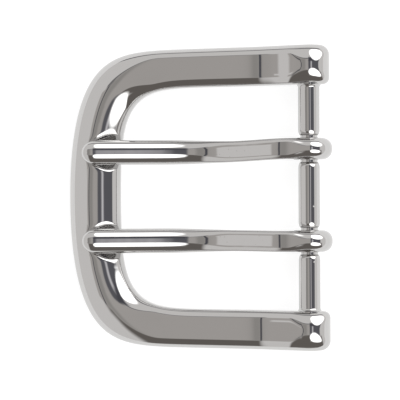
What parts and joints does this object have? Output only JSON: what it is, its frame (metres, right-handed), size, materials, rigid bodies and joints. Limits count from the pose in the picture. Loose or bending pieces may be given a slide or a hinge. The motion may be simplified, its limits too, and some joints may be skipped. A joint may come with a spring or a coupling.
{
  "type": "belt buckle",
  "caption": "Two-pronged belt buckle: a rounded C-shaped frame cast in one with its bar, and two prongs that swing on necks of the bar and rest on the bow.",
  "frame": {"origin": "middle of the strap bar, on its axis, halfway between the two arms", "axes": "+Y along the bar towards the upper arm, +X away from the bow, +Z out of the front face; the flat back is at z = -4.4 mm"},
  "size_m": [0.0474, 0.0542, 0.0086],
  "materials": {
    "frame_plating": "bright plating on polished die-cast zinc",
    "prong_plating": "bright plating on tumbled die-cast zinc"
  },
  "bodies": {
    "frame": {"frame": "frame_plating"},
    "prong_upper": {"prong_upper": "prong_plating"},
    "prong_lower": {"prong_lower": "prong_plating"}
  },
  "joints": [
    {"name": "prong_upper_swing", "type": "hinge", "parent": "frame", "child": "prong_upper", "pos_m": [0, 0.0087, 0], "axis": [0, 1, 0], "range_deg": [0, 180]},
    {"name": "prong_lower_swing", "type": "hinge", "parent": "frame", "child": "prong_lower", "pos_m": [0, -0.0077, 0], "axis": [0, 1, 0], "range_deg": [0, 180]}
  ]
}
